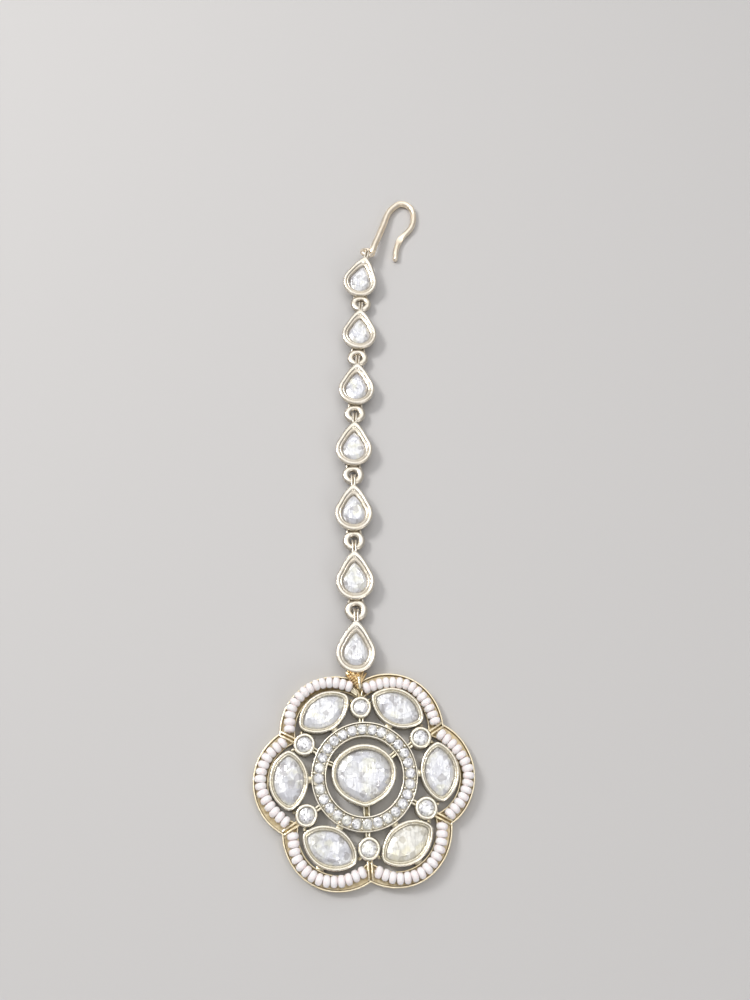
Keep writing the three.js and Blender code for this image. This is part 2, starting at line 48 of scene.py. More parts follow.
# Sizes in millimetres, most of them the solids' own
LOBES = 6
LOBE_STEP = 60.0
PENDANT_TURN = 3.9
LOBE_OFFSET = 8.95
RAIL_OUTER = 9.05
RAIL_INNER = 6.55
RAIL_FLOOR = 0.9
RAIL_SHIFT = Vector((0.05, -0.2, 0.0))
ROUND_RADIUS = 1.73
ROUND_REACH = 11.0
MARQUISE_REACH = 12.17
MARQUISE_WIDTH = 6.1
MARQUISE_LENGTH = 9.4
CENTRE_HALF_WIDTH = 5.1
CENTRE_UP = 4.4
CENTRE_DOWN = 4.7
CENTRE_POINT = 0.45
CENTRE_SHIFT = Vector((-0.12, 0.4, 0.0))
RING_INNER = 6.2
RING_OUTER = 8.6
RING_STONES = 28
RING_STONE_RADIUS = 0.8
RING_STONE_HEIGHT = 2.36
PRONG_OFFSET = 0.66
PEAR_RADIUS = 3.3
PEAR_LENGTH = 8.4
PEAR_TAPER = 1.4
PEAR_TIP = 5.7
PEAR_BELLY = 0.3
FOOT_RING = 1.315
FOOT_HEIGHT = 1.42
FOOT_TO_CUP = 1.72
TIP_TO_RING = 3.0
LAST_CUP_FOOT = Vector((-1.6, 16.8, 0.0))
BEAD_HALF_LENGTH = 0.6
BEAD_RADIUS = 0.94
THREAD_RADIUS = 0.2
HOOK_WIRE_RADIUS = 0.6

# Camera, fitted to the photo: place, then heading, tilt and roll in degrees
CAMERA_PLACE = Vector((-6.79, -19.56, 155.8))
CAMERA_TURN = (6.944, 24.09, 7.79)
CAMERA_LENS = 33.22

# Strands: lobe direction, half angles of the two ends, radii along the lobe, rise, beads
STRAND_HEIGHT = 2.14
STRANDS = (
    ("bead_strand_1", 60, 61, 60, (7.6, 7.3, 7.65, 7.4, 7.8), 0.0, 14),
    ("bead_strand_2", 0, 61, 60.5, (7.35, 7.25, 7.85, 7.7, 7.8), 0.0, 14),
    ("bead_strand_3", -60, 61, 60.5, (7.35, 7.55, 7.85, 7.65, 7.35), 0.0, 14),
    ("bead_strand_4", -120, 61, 60.5, (7.25, 7.45, 7.85, 7.8, 7.4), 0.0, 14),
    ("bead_strand_5", 180, 61, 60.5, (7.35, 7.25, 7.8, 7.75, 7.5), 0.0, 14),
    ("bead_strand_6", 120, 60, 55, (7.45, 7.95, 8.0, 7.8, 7.6), 0.4, 14),
)

# Links from the pendant up: number, turn, slack, extra turn and upward tilt of the cup
LINKS = (
    (7, 0.3, 0.3, 0.0, 0.0),
    (6, 3.06, 0.17, -1.0, 0.0),
    (5, 1.34, 0.1, 0.0, 0.0),
    (4, -0.66, 0.18, 0.0, 0.0),
    (3, -3.03, 0.56, 2.0, 0.0),
    (2, -2.9, 0.28, 1.0, 0.0),
    (1, 3.4, 0.32, -15.0, 7.0),
)

# Places along the hook's wire, from the eye round the bend to the free end
HOOK_ROUTE = (
    (0.65, 104.7, 1.9), (0.85, 105.4, 2.1), (1.3, 106.9, 2.0), (2.05, 109.2, 1.6), (3.05, 112.5, 1.1),
    (4.35, 116.5, 0.8), (6.6, 118.95, 0.68), (8.8, 118.35, 0.66), (9.6, 116.1, 0.65),
    (9.05, 112.7, 0.65), (6.75, 109.5, 0.65), (5.9, 107.0, 0.65), (5.65, 104.4, 0.65),
)


# Camera
def aim_camera():
    heading, tilt, roll = (math.radians(angle) for angle in CAMERA_TURN)
    forward = Vector((
        math.sin(tilt) * math.sin(heading), math.sin(tilt) * math.cos(heading), -math.cos(tilt)
    ))
    level = Vector((math.cos(heading), -math.sin(heading), 0.0))
    upward = level.cross(forward)
    right = math.cos(roll) * level + math.sin(roll) * upward
    up = -math.sin(roll) * level + math.cos(roll) * upward
    camera = bpy.data.objects.new("camera", bpy.data.cameras.new("camera"))
    camera.data.lens = CAMERA_LENS
    camera.data.sensor_width = 36.0
    camera.data.clip_start = 0.005
    turn = Matrix((right, up, -forward)).transposed().to_4x4()
    camera.matrix_world = Matrix.Translation(CAMERA_PLACE * MM) @ turn
    bpy.context.scene.collection.objects.link(camera)
    bpy.context.scene.camera = camera


aim_camera()


# Shader language
class Wire:
    """A shader value that takes part in Python expressions."""

    def __init__(self, shader, socket):
        self.shader = shader
        self.socket = socket

    def maths(self, operation, first, second=None):
        inputs = {0: first} if second is None else {0: first, 1: second}
        return self.shader.node("ShaderNodeMath", {"operation": operation}, inputs)

    def __add__(self, other):
        return self.maths("ADD", self, other)

    def __rsub__(self, other):
        return self.maths("SUBTRACT", other, self)

    def __mul__(self, other):
        return self.maths("MULTIPLY", self, other)

    def clamped(self):
        return self.maths("MINIMUM", self.maths("MAXIMUM", self, 0.0), 1.0)

    __radd__ = __add__
    __rmul__ = __mul__


class Finish:
    """A material under construction, with one method for every node."""

    def __init__(self, name):
        self.material = bpy.data.materials.new(name)
        self.material.use_nodes = True
        self.tree = self.material.node_tree
        self.tree.nodes.clear()

    def node(self, kind, settings=None, inputs=None, output=0):
        made = self.tree.nodes.new(kind)
        for key, value in (settings or {}).items():
            setattr(made, key, value)
        for key, value in (inputs or {}).items():
            socket = made.inputs[key]
            if isinstance(value, Wire):
                self.tree.links.new(value.socket, socket)
            else:
                socket.default_value = (*value, 1.0) if socket.type == "RGBA" else value
        return Wire(self, made.outputs[output]) if len(made.outputs) else None

    def place(self, stretch=1000.0):
        """Place on the piece, in millimetres times a stretch."""
        spot = self.node("ShaderNodeTexCoord", output="Object")
        return self.vector("SCALE", spot, Scale=stretch)

    def vector(self, operation, first, second=None, output=0, **extra):
        inputs = {0: first, **extra}
        if second is not None:
            inputs[1] = second
        return self.node("ShaderNodeVectorMath", {"operation": operation}, inputs, output)

    def mix(self, factor, first, second):
        """Colour between two colours; the node's colour sockets are 6 and 7, and 2 on its output side."""
        return self.node("ShaderNodeMix", {"data_type": "RGBA"}, {0: factor, 6: first, 7: second}, 2)

    def step(self, value, low, high, start=0.0, end=1.0):
        """Smooth step of a value between two limits."""
        return self.node(
            "ShaderNodeMapRange", {"interpolation_type": "SMOOTHSTEP"},
            {0: value, 1: low, 2: high, 3: start, 4: end},
        )

    def depth(self):
        """Painted shade at a spot of the mesh, from 0, open, to 1, hidden."""
        return self.node("ShaderNodeAttribute", {"attribute_name": "depth"}, output="Fac")

    def cloud(self, scale, detail=3.0, roughness=0.5, seed=0.0):
        spot = self.vector("ADD", self.place(), (seed, seed * 1.7, seed * 0.6))
        return self.node(
            "ShaderNodeTexNoise", None,
            {"Vector": spot, "Scale": scale, "Detail": detail, "Roughness": roughness},
        )

    def bump(self, height, distance, strength=1.0, normal=None):
        inputs = {"Height": height, "Distance": distance * MM, "Strength": strength}
        if normal is not None:
            inputs["Normal"] = normal
        return self.node("ShaderNodeBump", None, inputs)

    def surface(self, inputs):
        shaded = self.node("ShaderNodeBsdfPrincipled", None, inputs)
        self.node("ShaderNodeOutputMaterial", None, {"Surface": shaded})
        return self.material


def plated_gold(name, bright, deep, shade_tone, smooth=0.2, hammer=0.5):
    """Polished pale plating: hand-worked waviness, fine rubbing marks, and painted shade in low, hidden
    places.
    """
    f = Finish(name)
    # Painted shade: the shade tone is mixed in where the mesh is low and hidden, in uneven patches
    low = f.depth()
    patches = f.step(f.cloud(0.55, seed=3.0), 0.35, 0.65)
    colour = f.mix(patches * 0.55, bright, deep)
    shade_patchiness = f.step(f.cloud(1.9, 4.0, 0.6, seed=11.0), 0.3, 0.75)
    colour = f.mix((low * (shade_patchiness * 0.5 + 0.65)).clamped(), colour, shade_tone)
    worn = f.cloud(6.0, 2.0, seed=5.0)
    rough = f.step(worn, 0.3, 0.8, smooth, smooth + 0.16) + low * 0.12
    waves = f.cloud(1.1, 2.0, 0.45, seed=1.0)
    marks = f.cloud(7.0, 3.0, 0.6, seed=8.0)
    normal = f.bump(marks, 0.012, 0.6, f.bump(waves, 0.16 * hammer))
    return f.surface({
        "Base Color": colour, "Metallic": 1.0, "Roughness": rough, "Normal": normal,
    })


def foiled_crystal(name, tints, cell=1.0, smooth=0.3, shade=0.6):
    """Clear cut stone over crumpled silver foil: tilted bright cells under a smooth clear top."""
    f = Finish(name)
    wander = {"Vector": f.place(), "Scale": 0.8, "Detail": 1.0}
    drift = f.node("ShaderNodeTexNoise", None, wander, "Color")
    heights = []
    looks = []
    for density, weight in ((0.48 / cell, 1.0), (1.25 / cell, 0.3)):
        spot = f.vector("ADD", f.place(1000.0 * density), f.vector("SCALE", drift, Scale=0.55))
        kind = {"voronoi_dimensions": "3D", "feature": "F1"}
        inputs = {"Vector": spot, "Scale": 1.0}
        centre = f.node("ShaderNodeTexVoronoi", kind, inputs, "Position")
        chance = f.node("ShaderNodeTexVoronoi", kind, inputs, "Color")
        away = f.vector("SUBTRACT", spot, centre)
        lean = f.vector("SUBTRACT", chance, (0.5, 0.5, 0.5))
        heights.append(f.vector("DOT_PRODUCT", away, lean, "Value") * (weight / density))
        looks.append(f.node("ShaderNodeSeparateColor", None, {0: chance}))
    streaks = []
    for slope, seed in ((35.0, 0.0), (-62.0, 9.0)):
        turned_place = f.node("ShaderNodeMapping", None, {
            "Vector": f.place(), "Location": (seed, seed, 0.0),
            "Rotation": (0.0, 0.0, math.radians(slope)), "Scale": (3.4, 0.5, 0.5),
        })
        drawn = {"Vector": turned_place, "Scale": 1.0 / cell, "Detail": 2.0}
        streaks.append(f.node("ShaderNodeTexNoise", None, drawn))
    side = f.step(f.cloud(0.16, 1.0, seed=20.0), 0.45, 0.55)
    streak = streaks[0] * side + streaks[1] * (1.0 - side)
    normal = f.bump(heights[0] + heights[1] + streak * (0.3 * cell), 0.34)
    white, cool, warm, dark = tints
    colour = f.mix(f.step(looks[0], 0.5, 0.85) * 0.8, white, cool)
    colour = f.mix(f.step(streak, 0.5, 0.72) * 0.75, colour, cool)
    colour = f.mix(f.step(f.cloud(0.5, seed=7.0), 0.5, 0.66), colour, warm)
    # Painted dark reflections: some foil cells take the dark tone, as facets that mirror dark surroundings
    colour = f.mix(f.step(looks[1], 0.78, 0.9) * shade, colour, dark)
    # Painted shade on the stone's hidden sides, from the mesh's painted-shade values
    colour = f.mix(f.depth(), colour, dark)
    return f.surface({
        "Base Color": colour, "Metallic": 0.35, "Roughness": smooth, "Normal": normal,
        "Coat Weight": 0.7, "Coat Roughness": 0.04, "Coat IOR": 1.5,
    })


def pearl_bead(name):
    """Opaque pearly glass with a faint pink tint that drifts from bead to bead."""
    f = Finish(name)
    drift = f.step(f.cloud(0.9, 1.0, seed=2.0), 0.35, 0.65)
    colour = f.mix(drift, (0.96, 0.91, 0.90), (0.94, 0.86, 0.84))
    # Painted shade: darker at the bead's ends, round the hole and in the grooves between beads
    colour = f.mix(f.depth(), colour, (0.30, 0.19, 0.18))
    ripple = f.bump(f.cloud(2.6, 2.0, seed=4.0), 0.03, 0.8)
    return f.surface({
        "Base Color": colour, "Roughness": 0.26, "Normal": ripple,
        "Coat Weight": 0.6, "Coat Roughness": 0.08, "Subsurface Weight": 0.2,
        "Subsurface Radius": (0.4, 0.3, 0.3), "Subsurface Scale": 0.001,
    })


def waxed_thread(name):
    f = Finish(name)
    fibres = f.cloud(9.0, 3.0, seed=6.0)
    colour = f.mix(fibres, (0.72, 0.66, 0.58), (0.86, 0.82, 0.76))
    return f.surface({
        "Base Color": colour, "Roughness": 0.7, "Normal": f.bump(fibres, 0.03),
    })


# Platings: bright and deep tone, the tone of painted shade in low, hidden places, then roughness and
# hammering
GOLD = plated_gold("pale_gold", (0.92, 0.87, 0.75), (0.86, 0.79, 0.61), (0.21, 0.17, 0.09))
CHAIN_GOLD = plated_gold("chain_gold", (0.83, 0.77, 0.67), (0.77, 0.69, 0.55), (0.24, 0.19, 0.12), 0.26)
HOOK_GOLD = plated_gold("hook_gold", (0.95, 0.85, 0.70), (0.92, 0.79, 0.60), (0.42, 0.33, 0.20), 0.34)
RAIL_GOLD = plated_gold("rail_gold", (0.91, 0.81, 0.60), (0.82, 0.69, 0.44), (0.40, 0.30, 0.15), 0.24)
SOLDER = plated_gold("solder_gold", (0.92, 0.86, 0.70), (0.84, 0.75, 0.53), (0.20, 0.16, 0.08), 0.24, 0.9)
WRAP_GOLD = plated_gold("wrap_gold", (0.90, 0.71, 0.42), (0.80, 0.57, 0.28), (0.30, 0.19, 0.08), 0.22)

# Stones: white, cool, warm and dark tone; the dark tone is painted shade on hidden sides and painted dark
# reflections in some foil cells
CRYSTAL = foiled_crystal(
    "foiled_crystal",
    ((0.84, 0.84, 0.84), (0.61, 0.61, 0.65), (0.81, 0.80, 0.71), (0.36, 0.34, 0.34)),
)
WARM_CRYSTAL = foiled_crystal(
    "warm_crystal",
    ((0.84, 0.82, 0.75), (0.66, 0.64, 0.59), (0.82, 0.78, 0.62), (0.44, 0.40, 0.31)),
)
SMALL_CRYSTAL = foiled_crystal(
    "small_crystal",
    ((0.97, 0.97, 0.97), (0.78, 0.77, 0.80), (0.92, 0.91, 0.83), (0.12, 0.11, 0.11)),
    cell=0.3, smooth=0.2,
)
PEARL = pearl_bead("pearl_bead")
THREAD = waxed_thread("bead_thread")


# Mesh language, in millimetres
def polar(distance, degrees):
    angle = math.radians(degrees)
    return Vector((distance * math.cos(angle), distance * math.sin(angle), 0.0))


class Metal:
    """Gathers shells of one piece. Each point carries a painted shade from 0, open, to 1, hidden."""

    def __init__(self):
        self.points = []
        self.painted_shades = []
        self.faces = []

    def shell(self, rows, place=Matrix(), loop=True, close=False, caps=(False, False)):
        """Skin over rows of (points, painted shade); each row is a closed outline unless loop is off."""
        first = len(self.points)
        count = len(rows[0][0])
        for points, depth in rows:
            self.points += [place @ Vector(p) for p in points]
            self.painted_shades += [depth] * count
        bands = len(rows) if close else len(rows) - 1
        for band in range(bands):
            a = first + band * count
            b = first + ((band + 1) % len(rows)) * count
            for i in range(count if loop else count - 1):
                j = (i + 1) % count
                self.faces.append((a + i, a + j, b + j, b + i))
        if caps[0]:
            self.faces.append(tuple(first + i for i in reversed(range(count))))
        if caps[1]:
            top = first + (len(rows) - 1) * count
            self.faces.append(tuple(top + i for i in range(count)))
        return self

    def as_mesh(self, name, material, crisp, wobble=0.0):
        """The shells as one mesh with a slight waviness, which leaves the flat back flat."""
        mesh = bpy.data.meshes.new(name)
        spots = []
        for p in self.points:
            shift = noise.noise_vector(p * 0.31) * wobble
            lift = shift.z * min(1.0, max(0.0, p.z) / 2.0)
            spots.append((p + Vector((shift.x, shift.y, lift))) * MM)
        mesh.from_pydata(spots, [], self.faces)
        depth = mesh.attributes.new("depth", "FLOAT", "POINT")
        depth.data.foreach_set("value", self.painted_shades)
        outward = bmesh.new()
        outward.from_mesh(mesh)
        bmesh.ops.recalc_face_normals(outward, faces=outward.faces)
        outward.to_mesh(mesh)
        outward.free()
        mesh.materials.append(material)
        shade(mesh, crisp)
        return mesh

    def finish(self, name, material, slot, nodes, wobble=0.0, crisp=38.0):
        """Turns the shells into a piece that stands for the named solids."""
        settle(name, self.as_mesh(name, material, crisp, wobble), nodes)

    def as_unit(self, name, material, crisp):
        """Turns the shells into a unit for repeated(), kept out of the scene's pieces."""
        return bpy.data.objects.new(name, self.as_mesh(name, material, crisp))


def shade(mesh, crisp):
    """Smooth shading that breaks at edges sharper than an angle; 0 keeps every face flat."""
    mesh.polygons.foreach_set("use_smooth", [crisp > 0] * len(mesh.polygons))
    if crisp > 0:
        mesh.set_sharp_from_angle(angle=math.radians(crisp))


def settle(name, mesh, nodes):
    """Puts a finished mesh into the scene as a piece that stands for the named solids."""
    piece = bpy.data.objects.new(name, mesh)
    bpy.context.scene.collection.objects.link(piece)
    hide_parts(*nodes)
    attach(piece, "root")


def rounded(profile, radius=0.08, bits=3, closed=False):
    """Fillets the corners of a profile of (inset, height, painted shade)."""
    n = len(profile)
    result = []
    for i, here in enumerate(profile):
        if not closed and i in (0, n - 1):
            result.append(here)
            continue
        before, after = Vector(profile[i - 1]), Vector(profile[(i + 1) % n])
        spot = Vector(here)
        back, ahead = before - spot, after - spot
        reach_back = min(radius, Vector(back[:2]).length * 0.45)
        reach_ahead = min(radius, Vector(ahead[:2]).length * 0.45)
        start = spot + back * (reach_back / max(Vector(back[:2]).length, 1e-6))
        end = spot + ahead * (reach_ahead / max(Vector(ahead[:2]).length, 1e-6))
        for k in range(bits + 1):
            t = k / bits
            result.append(tuple(start * (1 - t) ** 2 + spot * (2 * t * (1 - t)) + end * t ** 2))
    return result


def softened(points, rounds):
    """Rounds the corners of an evenly spaced outline."""
    for _ in range(rounds):
        points = [
            (points[i - 1] + points[i] * 2.0 + points[(i + 1) % len(points)]) / 4.0
            for i in range(len(points))
        ]
    return points


def lobed(inset, per_lobe=34):
    radius = RAIL_OUTER - inset
    half = math.radians(LOBE_STEP / 2)
    notch = LOBE_OFFSET * math.cos(half) + math.sqrt(radius ** 2 - (LOBE_OFFSET * math.sin(half)) ** 2)
    sweep = math.degrees(math.atan2(notch * math.sin(half), notch * math.cos(half) - LOBE_OFFSET))
    points = []
    for lobe in range(LOBES):
        for i in range(per_lobe):
            angle = lobe * LOBE_STEP - sweep + 2 * sweep * i / per_lobe
            points.append(polar(LOBE_OFFSET, lobe * LOBE_STEP) + polar(radius, angle))
    return points


def marquise(inset, per_arc=44, rounds=5):
    radius = (MARQUISE_LENGTH ** 2 + MARQUISE_WIDTH ** 2) / (4 * MARQUISE_WIDTH)
    offset = radius - MARQUISE_WIDTH / 2
    half = math.degrees(math.acos(offset / (radius - inset)))
    points = []
    for side in (0, 180):
        for i in range(per_arc):
            angle = side - half + 2 * half * i / per_arc
            points.append(polar(-offset, side) + polar(radius - inset, angle))
    return softened(points, rounds)


def round_cup(inset, count=48):
    return [polar(ROUND_RADIUS - inset, i * 360 / count) for i in range(count)]


def pear(inset, count=96, rounds=2):
    """Pear with its tip towards +Y and bowed sides, centred on its round end."""
    scale = (PEAR_RADIUS - inset) / PEAR_RADIUS
    tip = Vector((0, PEAR_TIP, 0))
    side = math.sqrt(PEAR_TIP ** 2 - PEAR_RADIUS ** 2)
    tangent = 90 - math.degrees(math.acos(PEAR_RADIUS / PEAR_TIP))
    arc = math.radians(180 + 2 * tangent) * PEAR_RADIUS
    total = arc + 2 * side
    left = polar(PEAR_RADIUS, 180 - tangent)
    points = []
    for i in range(count):
        s = total * i / count
        if s < side or s > side + arc:
            u = s / side if s < side else (total - s) / side
            bow = PEAR_BELLY * math.sin(math.pi * u ** 0.8)
            p = tip.lerp(left, u) + polar(bow, 180 - tangent)
            points.append(p if s < side else Vector((-p.x, p.y, 0)))
        else:
            points.append(polar(PEAR_RADIUS, 180 - tangent + math.degrees((s - side) / PEAR_RADIUS)))
    return [p * scale for p in softened(points, rounds)]


def centre_cup(inset, count=112):
    points = []
    for i in range(count):
        angle = 360 * i / count - 90
        from_point = min(i, count - i) * 360 / count
        down = CENTRE_DOWN + CENTRE_POINT * max(0.0, 1 - from_point / 36) ** 2
        height = down if math.sin(math.radians(angle)) < 0 else CENTRE_UP
        points.append(Vector((
            (CENTRE_HALF_WIDTH - inset) * math.cos(math.radians(angle)),
            (height - inset) * math.sin(math.radians(angle)), 0.0,
        )))
    return softened(points, 2)


def raised(outline, height):
    return [Vector((p.x, p.y, height)) for p in outline]


def swept(outline, profile):
    """Rows of a wall that follows an outline, from a profile of (inset, height, painted shade)."""
    return [(raised(outline(inset), height), depth) for inset, height, depth in profile]


def set_cup(metal, outline, profile, place, floor):
    """Closed cup whose profile runs from its back, over the rim, to the bed of the stone."""
    rows = swept(outline, rounded(profile, 0.07))
    inner = profile[-1][0]
    rows.append((raised(outline(inner + 0.5), floor), 1.0))
    metal.shell(rows, place, caps=(True, True))


def slab(metal, low, high, place=Matrix(), soft=0.06, depth=0.0):
    """Block with softened edges between two corners."""
    x0, y0, z0 = low
    x1, y1, z1 = high
    rows = []
    for z, pull in ((z0, soft), (z0 + soft, 0), (z1 - soft, 0), (z1, soft)):
        a, b, c, d = x0 + pull, x1 - pull, y0 + pull, y1 - pull
        s = soft * 0.9
        rows.append(([
            Vector(p) for p in (
                (a + s, c, z), (b - s, c, z), (b, c + s, z), (b, d - s, z),
                (b - s, d, z), (a + s, d, z), (a, d - s, z), (a, c + s, z),
            )
        ], depth))
    metal.shell(rows, place, caps=(True, True))


def along(points):
    """Length of a path so far, at each of its points."""
    lengths = [0.0]
    for a, b in zip(points, points[1:]):
        lengths.append(lengths[-1] + (b - a).length)
    return lengths


def smooth_route(points, bits=8):
    """Smooth curve through points, passing through each."""
    points = [Vector(p) for p in points]
    first = points[0] * 2 - points[1]
    last = points[-1] * 2 - points[-2]
    full = [first, *points, last]
    route = []
    for a, b, c, d in zip(full, full[1:], full[2:], full[3:]):
        for i in range(bits):
            t = i / bits
            route.append(0.5 * (
                b * 2 + (c - a) * t + (a * 2 - b * 5 + c * 4 - d) * t ** 2
                + (b * 3 - a - c * 3 + d) * t ** 3
            ))
    return [*route, points[-1]]


def wire(
    metal, route, radius, sides=12, closed=False, place=Matrix(), press=None, thick=None, depth=0.0
):
    """Round wire along a route. press(t) flattens its top, from 0 to 1, and thick(t) scales its radius."""
    n = len(route)
    rows = []
    side = None
    for i, spot in enumerate(route):
        ahead = route[(i + 1) % n] if closed or i < n - 1 else spot
        behind = route[i - 1] if closed or i > 0 else spot
        heading = (ahead - behind).normalized()
        if side is None:
            side = heading.cross(Vector((0, 0, 1)))
            side = side.normalized() if side.length > 0.1 else Vector((1, 0, 0))
        side = (side - heading * side.dot(heading)).normalized()
        top = side.cross(heading)
        flat = press(i / (n - 1)) if press else 0.0
        size = radius * thick(i / (n - 1)) if thick else radius
        ring = []
        for k in range(sides):
            angle = 2 * math.pi * (k + 0.5) / sides
            up = math.sin(angle)
            out = math.cos(angle) * (1 + 0.12 * flat)
            up = min(up, 1 - 0.62 * flat)
            ring.append(spot + side * (out * size) + top * (up * size))
        rows.append((ring, depth))
    if not closed:
        for end, beyond in ((0, 1), (-1, -2)):
            tip = route[end]
            away = (tip - route[beyond]).normalized()
            cap = []
            for reach, shrink in ((0.38, 0.92), (0.7, 0.7), (0.92, 0.36)):
                ring = [tip + (p - tip) * shrink + away * (radius * reach) for p in rows[end][0]]
                cap.append((ring, depth))
            rows = [*reversed(cap), *rows] if end == 0 else [*rows, *cap]
    metal.shell(rows, place, close=closed, caps=(not closed, not closed))


def turned(metal, profile, sides, place=Matrix()):
    """Ring turned about Z from a closed profile of (radius, height, painted shade)."""
    rows = []
    for radius, height, depth in profile:
        rows.append((raised([polar(radius, i * 360 / sides) for i in range(sides)], height), depth))
    metal.shell(rows, place, close=True)


def cut_stone(outline, girdle, table, table_scale, back, shift=0.0):
    """Rows and faces of a stone: flat table, star and kite facets, girdle and flat back."""
    n = len(outline)
    middle = sum(outline, Vector()) / n
    points = raised(outline, girdle)
    points += raised(outline, girdle - 0.12)
    points += [Vector((*(middle + (p - middle) * 0.8)[:2], back)) for p in outline]
    corners = []
    for i in range(0, n, 2):
        reach = table_scale * (1 + 0.05 * math.sin(i * 2.4 + shift))
        p = middle + (outline[i] - middle) * reach
        corners.append(Vector((p.x, p.y, table + 0.02 * math.sin(i * 1.7 + shift))))
    points += corners
    m = n // 2
    top = 3 * n
    faces = []
    for j in range(m):
        g = 2 * j
        faces.append((top + j, (g - 1) % n, g))
        faces.append((top + j, g, (g + 1) % n))
        faces.append((top + j, (g + 1) % n, top + (j + 1) % m))
    for level in (0, 1):
        for i in range(n):
            a, b = level * n + i, level * n + (i + 1) % n
            faces.append((a, a + n, b + n, b))
    faces.append(tuple(top + j for j in range(m)))
    faces.append(tuple(2 * n + i for i in reversed(range(n))))
    # Painted shade: part on the girdle, most on the sides and back, none on the table
    painted_shades = [0.35] * n + [0.9] * (2 * n) + [0.0] * m
    return points, faces, painted_shades


def add_stone(metal, stone, place):
    points, faces, painted_shades = stone
    first = len(metal.points)
    metal.points += [place @ p for p in points]
    metal.painted_shades += painted_shades
    metal.faces += [tuple(first + i for i in face) for face in faces]


def every(outline, count):
    """Evenly picked points of a dense outline, starting at its first."""
    return [outline[round(i * len(outline) / count) % len(outline)] for i in range(count)]


def repeated(name, route, closed, unit, count, seed, tilt=0.0, vary=0.0, material=None):
    """Copies of a unit shape in a row along a route, each a little tilted and scaled."""
    tree = bpy.data.node_groups.new(name + "_row", "GeometryNodeTree")
    face = tree.interface
    face.new_socket("Route", in_out="INPUT", socket_type="NodeSocketGeometry")
    sockets = {}
    for label, kind, value in (
        ("Unit", "NodeSocketObject", unit), ("Count", "NodeSocketInt", count),
        ("Seed", "NodeSocketInt", seed), ("Tilt", "NodeSocketFloat", tilt),
        ("Variation", "NodeSocketFloat", vary), ("Finish", "NodeSocketMaterial", material),
    ):
        sockets[label] = (face.new_socket(label, in_out="INPUT", socket_type=kind).identifier, value)
    face.new_socket("Row", in_out="OUTPUT", socket_type="NodeSocketGeometry")
    nodes, links = tree.nodes, tree.links
    given = nodes.new("NodeGroupInput")

    def add(kind, inputs, **settings):
        made = nodes.new(kind)
        for key, value in settings.items():
            setattr(made, key, value)
        for key, value in inputs.items():
            if isinstance(value, bpy.types.NodeSocket):
                links.new(value, made.inputs[key])
            else:
                made.inputs[key].default_value = value
        return made

    curve = add("GeometryNodeMeshToCurve", {"Mesh": given.outputs["Route"]})
    places = add("GeometryNodeResampleCurve", {"Curve": curve.outputs[0], "Count": given.outputs["Count"]})
    shape = add("GeometryNodeObjectInfo", {"Object": given.outputs["Unit"]})
    tangent = add("GeometryNodeInputTangent", {})
    aligned = add(
        "FunctionNodeAlignRotationToVector", {"Vector": tangent.outputs[0]}, axis="X", pivot_axis="Z"
    )
    less = add("ShaderNodeMath", {0: given.outputs["Tilt"], 1: -1.0}, operation="MULTIPLY")
    lean = add("FunctionNodeRandomValue", {"Seed": given.outputs["Seed"]}, data_type="FLOAT_VECTOR")
    links.new(less.outputs[0], lean.inputs[0])
    links.new(given.outputs["Tilt"], lean.inputs[1])
    leaning = add("FunctionNodeEulerToRotation", {0: lean.outputs[0]})
    turn = add(
        "FunctionNodeRotateRotation", {0: aligned.outputs[0], 1: leaning.outputs[0]}, rotation_space="LOCAL"
    )
    small = add("ShaderNodeMath", {0: 1.0, 1: given.outputs["Variation"]}, operation="SUBTRACT")
    large = add("ShaderNodeMath", {0: 1.0, 1: given.outputs["Variation"]}, operation="ADD")
    size = add("FunctionNodeRandomValue", {"Seed": given.outputs["Seed"]}, data_type="FLOAT")
    links.new(small.outputs[0], size.inputs[2])
    links.new(large.outputs[0], size.inputs[3])
    row = add("GeometryNodeInstanceOnPoints", {
        "Points": places.outputs[0], "Instance": shape.outputs["Geometry"],
        "Rotation": turn.outputs[0], "Scale": size.outputs[1],
    })
    real = add("GeometryNodeRealizeInstances", {"Geometry": row.outputs[0]})
    dressed = add(
        "GeometryNodeSetMaterial", {"Geometry": real.outputs[0], "Material": given.outputs["Finish"]}
    )
    links.new(dressed.outputs[0], nodes.new("NodeGroupOutput").inputs[0])

    carrier = bpy.data.meshes.new(name + "_route")
    edges = [(i, i + 1) for i in range(len(route) - 1)] + ([(len(route) - 1, 0)] if closed else [])
    carrier.from_pydata([p * MM for p in route], edges, [])
    holder = bpy.data.objects.new(name + "_route", carrier)
    bpy.context.scene.collection.objects.link(holder)
    modifier = holder.modifiers.new("row", "NODES")
    modifier.node_group = tree
    for identifier, value in sockets.values():
        modifier[identifier] = value
    bpy.context.view_layer.update()
    shown = holder.evaluated_get(bpy.context.evaluated_depsgraph_get())
    mesh = bpy.data.meshes.new_from_object(shown)
    holder.modifiers.remove(modifier)
    bpy.data.objects.remove(holder)
    mesh.name = name
    return mesh


PENDANT = Matrix.Rotation(math.radians(PENDANT_TURN), 4, "Z")


def facing(degrees):
    """Turns +X, at the pendant's centre, into a direction on the pendant."""
    return PENDANT @ Matrix.Rotation(math.radians(degrees), 4, "Z")


def on_lobe(i):
    return facing(i * LOBE_STEP) @ Matrix.Translation((MARQUISE_REACH, 0, 0))


def on_notch(i):
    return facing((i + 0.5) * LOBE_STEP) @ Matrix.Translation((ROUND_REACH, 0, 0))


